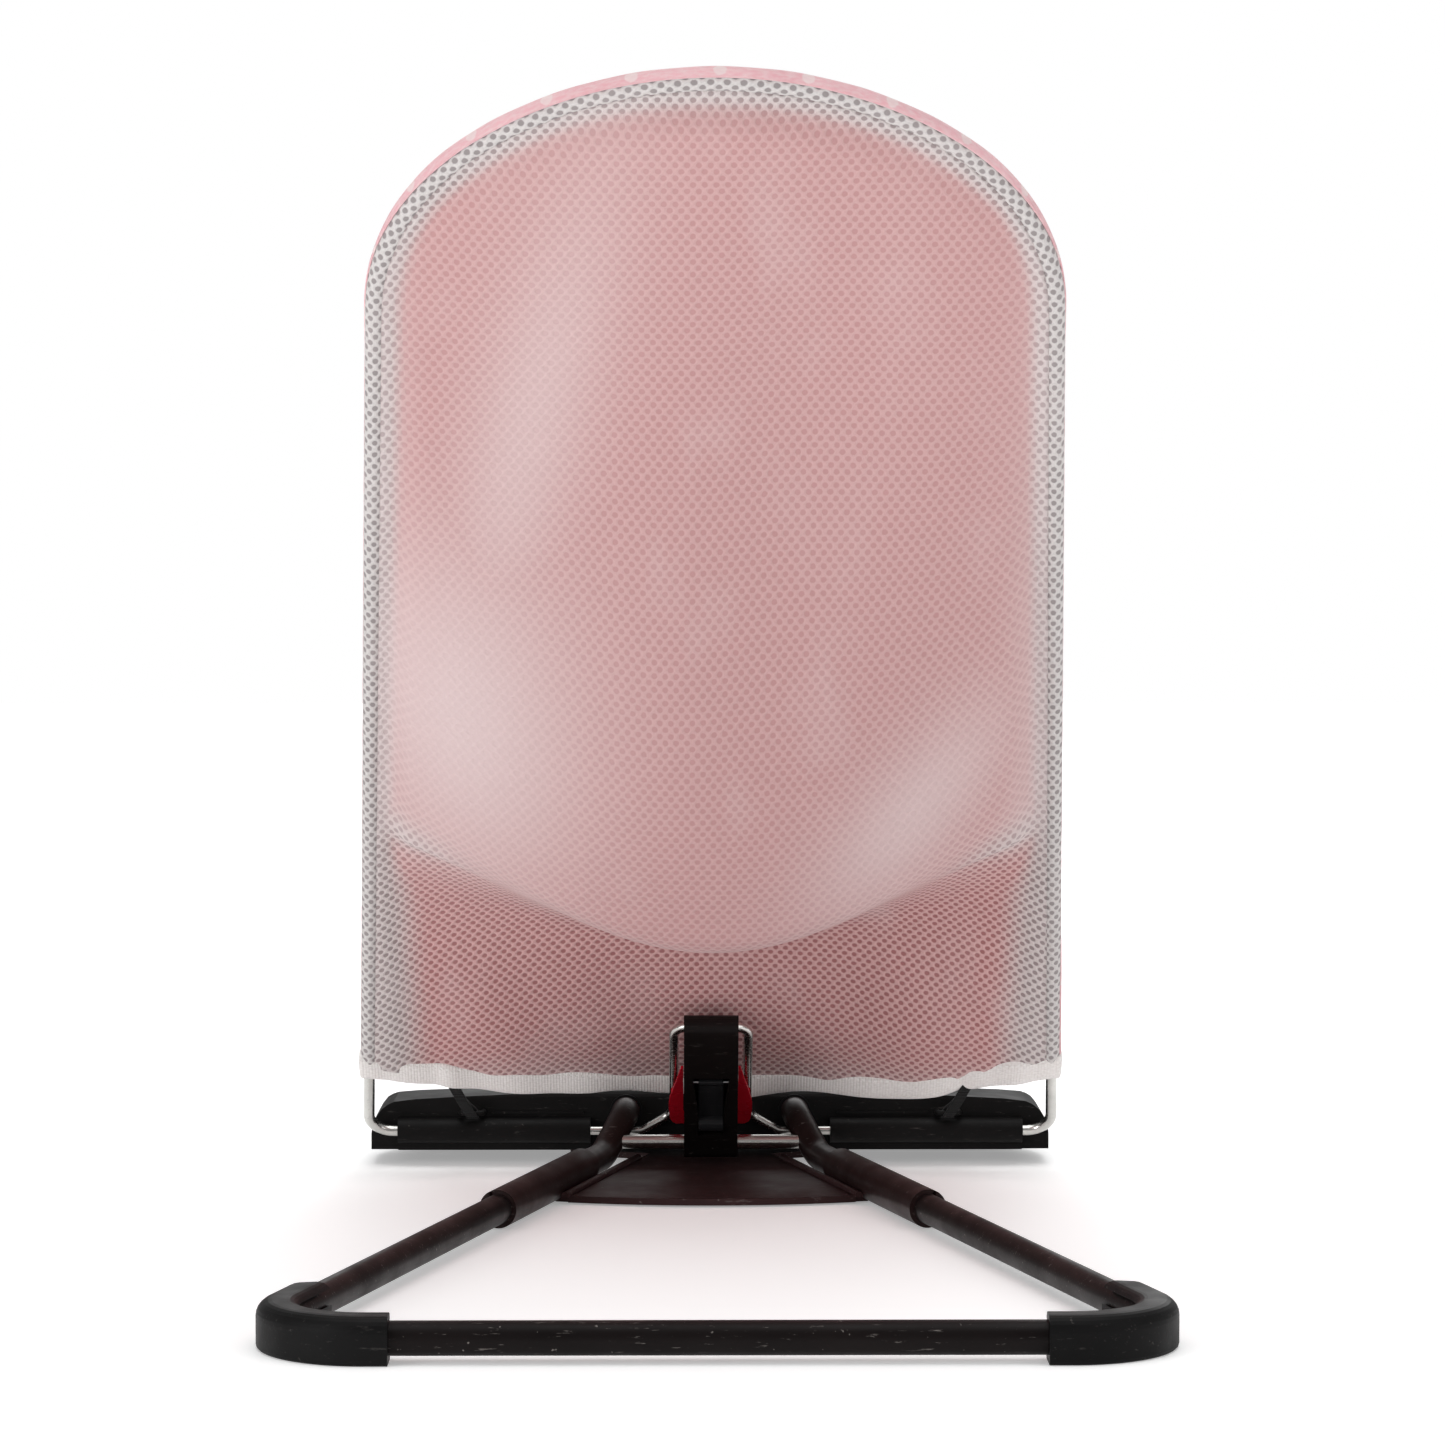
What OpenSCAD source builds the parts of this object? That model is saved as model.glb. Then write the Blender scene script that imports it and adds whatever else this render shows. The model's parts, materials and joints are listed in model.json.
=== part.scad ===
// Bouncer seat: a fabric sling on one bent steel rod, hinged on a low base of springy steel tube.
// Millimetres, +Z up. The sitter faces +Y and the origin is the middle of the footprint, on the floor.

/* [Base tube] */
// Width over the rubber covers at the rear corners
base_w = 400; // [392:2:408]
// Depth from the rear bar's covers to the nose of the front beam
base_depth = 658; // [654:1:662]
// Outer diameter of the base tube
tube_d = 15; // [14:0.5:15]
// Wall of the base tube
tube_wall = 1.5; // [1:0.25:2]
// Centreline radius of the rear corners
corner_r = 39.5; // [36:0.5:44]
// Inward lean of the side tubes, in degrees
splay = 15.1; // [14.8:0.1:15.4]
// Height and thickness of the rubber corner covers
cover_t = 21; // [20:0.5:22]

/* [Base plate] */
// Height of the plate's upper face above the floor
plate_top = 4.5; // [4:0.1:4.6]
// Height of the plate's underside, which stands on rubber pads
plate_z = 1; // [0.8:0.1:1.2]
// Outer diameter of the couplers that join the side tubes to the risers
sleeve_d = 19.5; // [18.5:0.5:19.5]

/* [Front beam] */
// Length of the wide front beam
beam_w = 374; // [366:2:378]
// Height of the beam's underside above the floor
beam_z = 8.5; // [8:0.5:9]
// Height of the beam's crown above the floor
beam_top = 41; // [40.5:0.5:43]
// Wall of the moulded beam
beam_wall = 2.5; // [2:0.25:3]

/* [Seat] */
// Angle of the seat above the floor in the upright position
seat_angle = 48; // [46:1:50]
// Diameter of the seat rod
rod_d = 6; // [5.5:0.5:6]
// Greatest depth of the seat pouch behind the rod
pouch_depth = 75; // [60:1:80]
// Length of the seat along the rod, at the virtual corner above the crown
crown_s = 756; // [752:0.2:764]

/* [Lock] */
// Width of the lock block
block_w = 29; // [27:0.5:30]
// Diameter of the lock loop's wire
loop_d = 5; // [4.5:0.5:5]
// Diameter of the cross bar that the lock block turns on
bar_d = 7.5; // [7:0.5:7.5]

/* [Hidden] */
$fn = 48;
gap = 0.3;
over = 1;
// A bend is this much thicker than its straights, which reach this far into it
bend_swell = 0.06;
tuck = 0.2;

// Plan of the base: the rear bar, and side tubes that lean in towards the front
tube_z = cover_t / 2;
bar_y = -base_depth / 2 + cover_t / 2;
front_y = base_depth / 2;
corner_turn = 90 + splay;
corner_cut = corner_r * tan(corner_turn / 2);
corner_x = base_w / 2 - cover_t / 2 - corner_r + corner_cut;
cover_bar_x = corner_x - corner_cut - 10;
cover_side_l = 36;
cover_end_y = bar_y + 78;
sleeve_rear_y = 28;
sleeve_front_y = 172;
tube_end_y = 146;
spigot_d = 9;
spigot_l = 14;
root_gap = 1.5;

// Base plate: rear edge, start of its sides, waist, front edge, and the rails along its sides
plate_rear_y = 98.5;
plate_side_y = 109.5;
plate_waist_y = 262;
plate_front_y = 306;
plate_foot_x = 78;
rail_off = 10.8;
rail_d = 4;
rail_end_y = 240;
pad_d = 18;
pad_recess = 0.8;
cradle_mid_y = 142;
cradle_l = 58;

// Risers: knees near the floor, then up and level into the beam
knee_y = 211.5;
knee_r = 20;
socket_z = 30;
socket_y = 238.5;
riser_end_y = 272;

// Hinge of the seat, along the tunnel behind the beam
hinge_y = 247;
hinge_z = 19.3;
hinge = [0, hinge_y, hinge_z];
beam_rear_y = 251;
tunnel_r = 6.8;
tunnel_bore = 9;
tunnel_in_x = 66;
tunnel_out_x = 172;
bush_l = 12;
bush_play = 0.05;

// Screws along the beam, and the hooks that hold the elastic straps
screw_x = [-150, -60, 60, 150];
screw_y = 290;
strap_x = 131;
hook_z = 29.5;
strap_s = 30;

// Cross bar between the knees, and the lock block on it
bar_c = [0, 220.5, 17];
block_l = 97;
hub_r = 8.5;

// Seat rod, in the seat's own frame [across, along, behind]
rod_hinge_x = 188;
rod_shoulder = [152.7, 643.9];
rod_foot_r = 13;
rod_shoulder_r = 125;
rod_end_x = tunnel_in_x;

// Lock loop, in a frame of its own about the same hinge
loop_angle = 33.8;
loop_x = 20;
loop_top = 108.5;
loop_lift = 8.8;
loop_foot_x = 38;
loop_foot_t = 5;
loop_r = 9.5;

// The loop's top bar in the upright seat and in the folded one, [y, z] from the cross bar
fold_angle = 38;
function loop_bar(tilt) = let (a = loop_angle - tilt) [
    hinge_y - loop_top * cos(a) + loop_lift * sin(a) - bar_c[1],
    hinge_z + loop_top * sin(a) + loop_lift * cos(a) - bar_c[2]
];
block_angle = atan2(loop_bar(0)[1], -loop_bar(0)[0]);
slot_from = norm(loop_bar(fold_angle)) - loop_d / 2 - 1.6;
slot_to = norm(loop_bar(0)) + loop_d / 2 + gap;

// Thumb latch on the lock block, [along, behind]
latch_along = 21;
latch_behind = 5.2;
latch_pivot = [52, 3.9];

// Restraint in front of the seat
panel_from = 70;
panel_to = 330;
button_s = 318;
button_x = 118;

// Cloth: two layers with a little air between them
cloth_gap = 0.6;
back_t = 1.6;
front_t = 2.6;
cols = 18;
rows = 34;
seam_centre_s = 218;
seam_side_s = 262;
pouch_rise = 90;
cloth_top_s = 708;

function tube_x(y) = corner_x - (y - bar_y) * tan(splay);
function unit(v) = v / norm(v);
function turn(a, b, c) = acos(unit(b - a) * unit(c - b));
function cut_back(a, b, c, r) = r * tan(turn(a, b, c) / 2);
function smooth(q) = q <= 0 ? 0 : q >= 1 ? 1 : q * q * (3 - 2 * q);
function arc(c, r, from, to, n = 8) =
    [for (i = [0 : n]) c + r * [cos(from + (to - from) * i / n), sin(from + (to - from) * i / n)]];
function flip(points) = [for (i = [len(points) - 1 : -1 : 0]) [-points[i][0], points[i][1]]];
function flip3(points) = [for (i = [len(points) - 1 : -1 : 0])
    [-points[i][0], points[i][1], points[i][2]]];

// A straight round rod from a to b
module rod_between(a, b, d) {
    v = b - a;
    if (norm(v) > 0.05)
        translate(a)
            rotate([0, acos(v[2] / norm(v)), atan2(v[1], v[0])])
                cylinder(h = norm(v), d = d);
}

// The bend at corner b on the way from a to c
module rod_bend(a, b, c, r, d) {
    u = unit(b - a);
    w = unit(c - b);
    side = unit(w - (w * u) * u);
    axis = cross(u, side);
    m = b - u * cut_back(a, b, c, r) + side * r;
    multmatrix([
        [-side[0], u[0], axis[0], m[0]],
        [-side[1], u[1], axis[1], m[1]],
        [-side[2], u[2], axis[2], m[2]],
        [0, 0, 0, 1]
    ])
        rotate_extrude(angle = turn(a, b, c), $fn = 96)
            translate([r, 0])
                circle(d = d + bend_swell);
}

// A round rod or tube bent along corner points, with one radius for each corner
module bent_rod(points, radii, d) {
    last = len(points) - 1;
    for (i = [0 : last - 1]) {
        a = points[i];
        b = points[i + 1];
        u = unit(b - a);
        start = i == 0 ? a : a + u * (cut_back(points[i - 1], a, b, radii[i - 1]) - tuck);
        end = i == last - 1 ? b : b - u * (cut_back(a, b, points[i + 2], radii[i]) - tuck);
        rod_between(start, end, d);
    }
    if (last > 1)
        for (i = [1 : last - 1])
            rod_bend(points[i - 1], points[i], points[i + 1], radii[i - 1], d);
}

// Places a child drawn as [across, along, behind] at the hinge, leaning back at an angle
module leaning(angle) {
    translate(hinge)
        rotate([180 - angle, 0, 0])
            children();
}

// Extrudes a side profile, drawn as [y, z], across the width w
module across(w) {
    translate([-w / 2, 0, 0])
        rotate([90, 0, 90])
            linear_extrude(w)
                children();
}

// ---------------------------------------------------------------- base

module rear_tube_solid() {
    side = [[corner_x, bar_y, tube_z], [tube_x(tube_end_y), tube_end_y, tube_z]];
    bent_rod(concat(flip3(side), side), [corner_r, corner_r], tube_d);
}

// The bore runs up the side tubes as far as the bends
module rear_tube() {
    deep_y = bar_y + corner_cut + 4;
    color("#1b1817")
        difference() {
            rear_tube_solid();
            each_side()
                rod_between([tube_x(tube_end_y + over), tube_end_y + over, tube_z],
                    [tube_x(deep_y), deep_y, tube_z], tube_d - 2 * tube_wall);
        }
}

// Section of a corner cover, [outwards, up] from the tube's centre: flat outside, round on top,
// and open along the inner upper side, where the tube snaps in
module cover_section() {
    h = cover_t / 2;
    inner = h - 1.5;
    difference() {
        polygon(concat(
            arc([h - 2, -h + 2], 2, -90, 0, 3),
            arc([h - 7, h - 7], 7, 0, 90, 6),
            arc([-inner + 6, h - 6], 6, 90, 180, 6),
            arc([-inner + 2, -h + 2], 2, 180, 270, 3)
        ));
        rotate(158)
            translate([0, -3.5])
                square([2 * h, 7]);
    }
}

// A straight stretch of cover, [outwards, up], along +Z; a hair slimmer than the bend it joins
module cover_straight(l) {
    translate([0, 0, -tuck])
        linear_extrude(l + tuck)
            scale(0.998)
                cover_section();
}

module corner_cover() {
    centre = [corner_x - corner_cut, bar_y + corner_r, tube_z];
    color("#151515")
        difference() {
            translate(centre) {
                rotate([0, 0, -90])
                    rotate_extrude(angle = corner_turn, $fn = 96)
                        translate([corner_r, 0])
                            cover_section();
                translate([0, -corner_r, 0])
                    mirror([1, 0, 0])
                        rotate([90, 0, 90])
                            mirror([1, 0, 0])
                                cover_straight(centre[0] - cover_bar_x);
                rotate([0, 0, splay])
                    translate([corner_r, 0, 0])
                        mirror([0, 1, 0])
                            rotate([90, 0, 0])
                                cover_straight(cover_side_l);
            }
            rear_tube_solid();
            // the oblique end on the side tube
            translate([tube_x(cover_end_y), cover_end_y, -over])
                rotate([0, 0, splay - 30])
                    translate([-40, 0, 0])
                        cube([80, 60, cover_t + 2 * over]);
        }
}

module sleeve() {
    a = [tube_x(sleeve_rear_y), sleeve_rear_y, tube_z];
    b = [tube_x(sleeve_front_y), sleeve_front_y, tube_z];
    u = unit(b - a);
    color("#24201f")
        difference() {
            rod_between(a, b, sleeve_d);
            rod_between(a - u, b + u, tube_d);
            // the slit that lets the coupler close on the tube
            translate(a - u)
                rotate([0, 0, atan2(u[1], u[0])])
                    rotate([25, 0, 0])
                        translate([0, -1, 0])
                            cube([norm(b - a) + 2, 2, sleeve_d]);
        }
}

// Plan of the base plate: a bowed rear edge, sides along the tubes, a wider foot at the front
function plate_x(y) = tube_x(y) - rail_off / cos(splay);

module plate_plan() {
    half = concat(
        [[0, plate_rear_y]],
        [for (i = [1 : 6]) [plate_x(plate_side_y) * i / 6,
            plate_rear_y + (plate_side_y - plate_rear_y) * pow(i / 6, 2)]],
        [[plate_x(plate_waist_y), plate_waist_y]],
        [[plate_foot_x - 8, plate_waist_y + 14]],
        arc([plate_foot_x - 8, plate_waist_y + 22], 8, -90, 0, 4),
        arc([plate_foot_x - 14, plate_front_y - 14], 14, 0, 90, 5)
    );
    polygon(concat(half, flip(half)));
}

function pad_spots() = [for (x = [-1, 1]) for (p = [[54, 124], [58, 290]]) [x * p[0], p[1]]];
function screw_spots() = [for (x = [-1, 1]) for (y = [126, 158]) [x * (tube_x(y) - 12.4), y]];

module base_plate() {
    color("#1f1a19")
        difference() {
            union() {
                translate([0, 0, plate_z])
                    linear_extrude(plate_top - plate_z)
                        plate_plan();
                // cradle under each coupler
                each_side()
                    translate([tube_x(cradle_mid_y), cradle_mid_y, plate_z])
                        rotate([0, 0, splay])
                            translate([-12.5, -cradle_l / 2, 0]) {
                                cube([9, cradle_l, plate_top - plate_z]);
                                translate([3.7, 0, 0])
                                    cube([5.3, cradle_l, 6]);
                            }
            }
            for (side = [0, 1])
                mirror([side, 0, 0])
                    rod_between([tube_x(0), 0, tube_z], [tube_x(200), 200, tube_z], sleeve_d);
            for (p = pad_spots())
                translate([p[0], p[1], 0])
                    cylinder(h = plate_z + pad_recess, d = pad_d);
            for (p = screw_spots())
                translate([p[0], p[1], 0]) {
                    cylinder(h = 3, d = 6.4);
                    cylinder(h = plate_top - 0.1, d = 3);
                }
        }
}

module plate_rails() {
    color("#191514")
        for (side = [0, 1])
            mirror([side, 0, 0])
                difference() {
                    rod_between([plate_x(plate_side_y - 6), plate_side_y - 6, plate_top + 1],
                        [plate_x(rail_end_y), rail_end_y, plate_top + 1], rail_d);
                    translate([0, 0, -20 + plate_top])
                        cube([200, 400, 20]);
                }
}

module floor_pads() {
    color("#101010")
        for (p = pad_spots())
            translate([p[0], p[1], 0])
                cylinder(h = plate_z + pad_recess, d = pad_d);
}

module plate_screws() {
    color("#8d8f90")
        for (p = screw_spots())
            translate([p[0], p[1], 1.2])
                difference() {
                    union() {
                        cylinder(h = 1.8, d = 6);
                        cylinder(h = plate_top - 1.5, d = 2.9);
                    }
                    translate([0, 0, -over])
                        cylinder(h = over + 0.9, d = 2.6, $fn = 6);
                }
}

// ---------------------------------------------------------------- front frame

function riser_points() = let (y0 = sleeve_front_y + root_gap) [
    [tube_x(y0), y0, tube_z],
    [tube_x(knee_y), knee_y, tube_z],
    [tube_x(socket_y) - 4.6, socket_y, socket_z],
    [tube_x(socket_y) - 5, riser_end_y, socket_z]
];

module riser_solid(d) {
    bent_rod(riser_points(), [knee_r, knee_r], d);
}

module riser() {
    p = riser_points();
    u = unit(p[1] - p[0]);
    color("#24201f") {
        difference() {
            riser_solid(tube_d);
            rod_between(p[3] - [0, 18, 0], p[3] + [0, over, 0], tube_d - 2 * tube_wall);
        }
        // spigot that reaches into the coupler
        rod_between(p[0] - u * spigot_l, p[0] + u, spigot_d);
    }
}

module cross_bar() {
    reach = tube_x(knee_y) - tube_d / 2 + 2;
    color("#c9c9c6")
        difference() {
            rod_between(bar_c - [reach, 0, 0], bar_c + [reach, 0, 0], bar_d);
            for (side = [0, 1])
                mirror([side, 0, 0])
                    riser_solid(tube_d);
        }
}

// Rear view, plan and side view of the beam; w takes the walls off for the hollow
module beam_rear_view(w) {
    half = beam_w / 2 - w;
    top = beam_top - w;
    corner = 19;
    fall = 5;
    side = concat(
        [[half, beam_z - over]],
        arc([half - corner, top - fall - corner], corner, 0, 70, 6),
        [for (x = [half - corner - 6 : -24 : 0]) [x, top - pow(x / (half - corner), 2) * fall]]
    );
    polygon(concat(side, flip(side)));
}

module beam_plan(w) {
    half = beam_w / 2 - w;
    front = front_y - w;
    r = 46;
    side = concat(
        [[half, beam_rear_y + w]],
        arc([half - r, front - r], r, 0, 78, 8)
    );
    polygon(concat(side, [[0, front]], flip(side)));
}

module beam_side_view(w) {
    rear = beam_rear_y + w;
    top = beam_top - w;
    nose = 7;
    polygon(concat(
        [[rear, beam_z - (w > 0 ? over : 0)]],
        [[front_y - w, beam_z - (w > 0 ? over : 0)]],
        arc([front_y - w - nose, beam_z + nose + 1], nose, 0, 62, 5),
        [[rear + 27, top]],
        arc([rear + 5, top - 5], 5, 90, 180, 5)
    ));
}

module beam_block(w) {
    intersection() {
        across(beam_w + 2)
            beam_side_view(w);
        translate([0, front_y + over, 0])
            rotate([90, 0, 0])
                linear_extrude(120)
                    beam_rear_view(w);
        translate([0, 0, -over])
            linear_extrude(beam_top + 2 * over)
                beam_plan(w);
    }
}

module each_side() {
    for (side = [0, 1])
        mirror([side, 0, 0])
            children();
}

function socket_axis() = riser_points()[3];

module front_beam() {
    color("#161616")
        difference() {
            union() {
                difference() {
                    beam_block(0);
                    beam_block(beam_wall);
                }
                // half-round tunnel along the rear, joined to the panel
                each_side() {
                    rod_between([tunnel_in_x, hinge_y, hinge_z],
                        [tunnel_out_x, hinge_y, hinge_z], 2 * tunnel_r);
                    translate([tunnel_in_x, hinge_y, hinge_z - tunnel_r])
                        cube([tunnel_out_x - tunnel_in_x, beam_rear_y + beam_wall - hinge_y,
                            2 * tunnel_r]);
                    translate([tunnel_in_x, beam_rear_y - 3, beam_z])
                        cube([tunnel_out_x - tunnel_in_x, 4, 6]);
                    // rib above the tunnel
                    translate([70, beam_rear_y - 1.4, 28.2])
                        cube([50, 2, 1.4]);
                    // socket for the riser
                    intersection() {
                        beam_block(0.5);
                        rod_between(socket_axis() - [0, 21, 0], socket_axis(), tube_d + 6);
                    }
                }
                for (x = screw_x)
                    intersection() {
                        beam_block(beam_wall / 2);
                        translate([x, screw_y, beam_z + 2])
                            cylinder(h = 40, d = 7);
                    }
            }
            each_side() {
                rod_between([tunnel_in_x - over, hinge_y, hinge_z],
                    [tunnel_out_x + over, hinge_y, hinge_z], tunnel_bore);
                riser_solid(tube_d);
                translate(socket_axis() - [0, 8, 0])
                    rotate([-90, 0, 0])
                        cylinder(h = 8, d = tube_d - 2 * tube_wall);
            }
            for (x = screw_x)
                translate([x, screw_y, beam_z - over])
                    cylinder(h = 11, d = 2.9);
        }
}

module beam_cover() {
    color("#131313")
        difference() {
            intersection() {
                translate([0, 0, beam_z])
                    linear_extrude(2)
                        beam_plan(beam_wall);
                across(beam_w)
                    beam_side_view(beam_wall);
            }
            for (x = screw_x)
                translate([x, screw_y, beam_z - over])
                    cylinder(h = 4, d = 3.2);
        }
}

module beam_screws() {
    color("#8d8f90")
        for (x = screw_x)
            translate([x, screw_y, beam_z - 1.6])
                difference() {
                    union() {
                        cylinder(h = 1.6, d = 6);
                        cylinder(h = 9.6, d = 2.9);
                    }
                    translate([0, 0, -over])
                        cylinder(h = over + 0.8, d = 2.6, $fn = 6);
                }
}

module socket_collars() {
    color("#101010")
        each_side()
            difference() {
                rod_between([socket_axis()[0] + 0.15, beam_rear_y - 1.2, socket_z],
                    [socket_axis()[0] + 0.15, beam_rear_y, socket_z], 17.6);
                riser_solid(tube_d);
            }
}

module rod_bushes() {
    color("#3a3a3c")
        each_side()
            for (x = [tunnel_in_x, tunnel_out_x - bush_l])
                difference() {
                    rod_between([x, hinge_y, hinge_z], [x + bush_l, hinge_y, hinge_z], tunnel_bore);
                    rod_between([x - over, hinge_y, hinge_z], [x + bush_l + over, hinge_y, hinge_z],
                        rod_d + 2 * bush_play);
                }
}

module strap_hooks() {
    color("#1a1a1a")
        for (side = [-1, 1])
            translate([side * strap_x, 0, 0])
                bent_rod([
                    [-6, beam_rear_y, hook_z],
                    [-6, beam_rear_y - 9, hook_z],
                    [6, beam_rear_y - 9, hook_z],
                    [6, beam_rear_y, hook_z]
                ], [3, 3], 3);
}

// ---------------------------------------------------------------- lock

// Places a child drawn as [across, along, behind] on the cross bar, along the lock block
module on_block() {
    translate(bar_c)
        rotate([180 - block_angle, 0, 0])
            children();
}

module lock_block() {
    tip = 6;
    color("#141414")
        on_block()
            difference() {
                across(block_w)
                    difference() {
                        union() {
                            circle(r = hub_r);
                            polygon(concat(
                                [[0, hub_r], [0, -hub_r + 1.5]],
                                [[40, -6.2]],
                                arc([block_l - tip, -6.2 + tip], tip, -90, 0, 5),
                                arc([block_l - 5, 1.5], 5, 0, 90, 5)
                            ));
                        }
                        circle(d = bar_d + 0.1);
                        // slot in which the loop's bar slides as the seat is set lower
                        translate([slot_from, -4])
                            square([slot_to - slot_from, 7]);
                    }
                // thumb recess in the rear face, wider at the top
                translate([0, 0, -1.6])
                    linear_extrude(14)
                        polygon([[-7, 13], [7, 13], [7, 30], [10, 58], [-10, 58], [-7, 30]]);
                latch_rod(12.5, 1.5);
            }
}

module latch_rod(half, d) {
    rod_between([-half, latch_pivot[0], latch_pivot[1]], [half, latch_pivot[0], latch_pivot[1]], d);
}

module thumb_latch() {
    color("#202022")
        on_block()
            difference() {
                across(13.2)
                    union() {
                        translate([latch_along, latch_behind])
                            circle(r = 4.6);
                        translate([latch_along, 2.9])
                            square([latch_pivot[0] - latch_along, 1.8]);
                        translate(latch_pivot)
                            circle(r = 1.9);
                    }
                latch_rod(10, 1.6);
            }
}

module latch_pin() {
    color("#9a9c9d")
        on_block()
            latch_rod(12.5, 1.5);
}

function loop_points() = let (side = [
    [loop_x, loop_top, -loop_lift],
    [loop_x, loop_foot_t, -loop_lift],
    [loop_foot_x, 0, 0],
    [rod_end_x, 0, 0]
]) concat(flip3(side), side);

module lock_loop() {
    color("#b9bbbb")
        leaning(loop_angle)
            bent_rod(loop_points(), [7, 9, loop_r, loop_r, 9, 7], loop_d);
}

// Red catch: a yoke in front of the lock block, with a wing behind each leg of the loop and a clip
module release_catch() {
    clear_x = block_w / 2 + 0.4;
    wing_t = 1.5;
    plane = -loop_lift + loop_d / 2 + 1.1;
    clip_d = loop_d + 4;
    side = concat(
        [[0, 1.2], [18.8, 1.2], [20.8, 3.2], [22, 7], [22.5, 12], [22.8, 18], [22.8, 24]],
        [[22.2, 32.6], [19.8, 47], [17.4, 60], [16, 69]],
        [[clear_x, 69], [clear_x, 14.2], [0, 14.2]]
    );
    color("#c01018")
        leaning(loop_angle)
            difference() {
                union() {
                    translate([0, 0, plane])
                        linear_extrude(wing_t)
                            polygon(concat(side, flip(side)));
                    each_side()
                        intersection() {
                            rod_between([loop_x, 31, -loop_lift], [loop_x, 39, -loop_lift], clip_d);
                            translate([clear_x + 0.6, 30, -loop_lift - 0.4])
                                cube([loop_x - clear_x + 0.9, 10, loop_d / 2 + 2.3]);
                        }
                }
                each_side()
                    rod_between([loop_x, 0, -loop_lift], [loop_x, 80, -loop_lift], loop_d + 0.1);
            }
}

// ---------------------------------------------------------------- seat

// Corner points of the seat rod's arch, moved outwards by o
function arch_points(o) = let (
    lean = atan2(rod_hinge_x - rod_shoulder[0], rod_shoulder[1]),
    pitch = atan2(crown_s - rod_shoulder[1], rod_shoulder[0]),
    shoulder_turn = 90 - lean - pitch,
    grow = o / cos(shoulder_turn / 2),
    out = pitch + shoulder_turn / 2
) [
    [rod_hinge_x + o / cos(lean), 0],
    [rod_shoulder[0] + grow * sin(out), rod_shoulder[1] + grow * cos(out)],
    [0, crown_s + o / cos(pitch)]
];
function crown_r(o) = let (
    p = arch_points(o),
    pitch = atan2(p[2][1] - p[1][1], p[1][0]),
    used = (rod_shoulder_r + o) * tan(turn(p[0], p[1], p[2]) / 2)
) (norm(p[2] - p[1]) - used - 1) / tan(pitch);
function lift3(p) = [p[0], p[1], 0];

module seat_rod() {
    p = arch_points(0);
    side = [lift3(p[1]), lift3(p[0]), [rod_end_x, 0, 0]];
    color("#b4b6b6")
        leaning(seat_angle)
            bent_rod(concat(flip3(side), [lift3(p[2])], side),
                [rod_foot_r, rod_shoulder_r, crown_r(0), rod_shoulder_r, rod_foot_r], rod_d);
}

module rim_piping() {
    o = rod_d / 2 + gap + 2;
    p = arch_points(o);
    foot = p[0] + (p[1] - p[0]) * 0.11;
    side = [lift3(p[1]), lift3(foot)];
    color("#c97b86")
        leaning(seat_angle)
            bent_rod(concat(flip3(side), [lift3(p[2])], side),
                [rod_shoulder_r + o, crown_r(o), rod_shoulder_r + o], 4);
}

// Half-width between the rod's sides at a distance s along the seat
function rod_half(s) = let (
    p = arch_points(0),
    lean = atan2(p[0][0] - p[1][0], p[1][1]),
    pitch = atan2(p[2][1] - p[1][1], p[1][0]),
    cut = rod_shoulder_r * tan((90 - lean - pitch) / 2),
    low = p[1] - cut * [-sin(lean), cos(lean)],
    c2 = low - rod_shoulder_r * [cos(lean), sin(lean)],
    c1 = [0, p[2][1] - crown_r(0) / cos(pitch)],
    high_s = c2[1] + rod_shoulder_r * cos(pitch)
) s < low[1] ? p[0][0] - s * tan(lean)
    : s < high_s ? c2[0] + sqrt(pow(rod_shoulder_r, 2) - pow(s - c2[1], 2))
    : sqrt(max(0, pow(crown_r(0), 2) - pow(s - c1[1], 2)));

function hem_s(u) = 27 + 21 * pow(abs(u), 2.5);
function seam_s(u) = seam_side_s - (seam_side_s - seam_centre_s) * (1 + cos(180 * u)) / 2;

// Distance from the rod's centre line
function rod_gap(u, s) = let (
    p = arch_points(0),
    pitch = atan2(p[2][1] - p[1][1], p[1][0]),
    centre_s = p[2][1] - crown_r(0) / cos(pitch),
    x = abs(u) * rod_half(s)
) min(rod_half(s) - x, crown_r(0) - norm([x, max(0, s - centre_s)]));

// How far the cloth lies behind the plane of the rod
function sag(u, s) =
    (1 - u * u) * smooth((rod_gap(u, s) - 6) / 18) * (
        pouch_depth * smooth((s - seam_s(u)) / pouch_rise + 0.76) * (1 - 0.86 * smooth((s - 270) / 300))
        - 9.5 * (1 - smooth((s - 30) / 60))
    );
function rim_lift(u, s) = 3.1 * smooth((9 - rod_gap(u, s)) / 6);
function row_s(u, j, from, to) = let (q = j / rows) from + (to - from) * (1 - pow(1 - q, 1.35));

// A sheet between two distances behind the cloth's middle; each point is [across, along, behind]
module cloth_sheet(grid_front, grid_back) {
    n = len(grid_front[0]);
    m = len(grid_front);
    flat = concat([for (r = grid_front) each r], [for (r = grid_back) each r]);
    half = n * m;
    quads = [for (j = [0 : m - 2]) for (i = [0 : n - 2]) let (q = j * n + i)
        [q, q + 1, q + n + 1, q + n]];
    rim = concat(
        [for (i = [0 : n - 1]) i],
        [for (j = [1 : m - 1]) j * n + n - 1],
        [for (i = [n - 2 : -1 : 0]) (m - 1) * n + i],
        [for (j = [m - 2 : -1 : 1]) j * n]
    );
    tri = [for (q = quads) each [[q[0], q[1], q[2]], [q[0], q[2], q[3]]]];
    back = [for (t = tri) [t[2] + half, t[1] + half, t[0] + half]];
    wall = [for (k = [0 : len(rim) - 1]) let (a = rim[k], b = rim[(k + 1) % len(rim)])
        each [[b, a, a + half], [b, a + half, b + half]]];
    polyhedron(flat, concat(tri, back, wall), convexity = 6);
}

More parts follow.
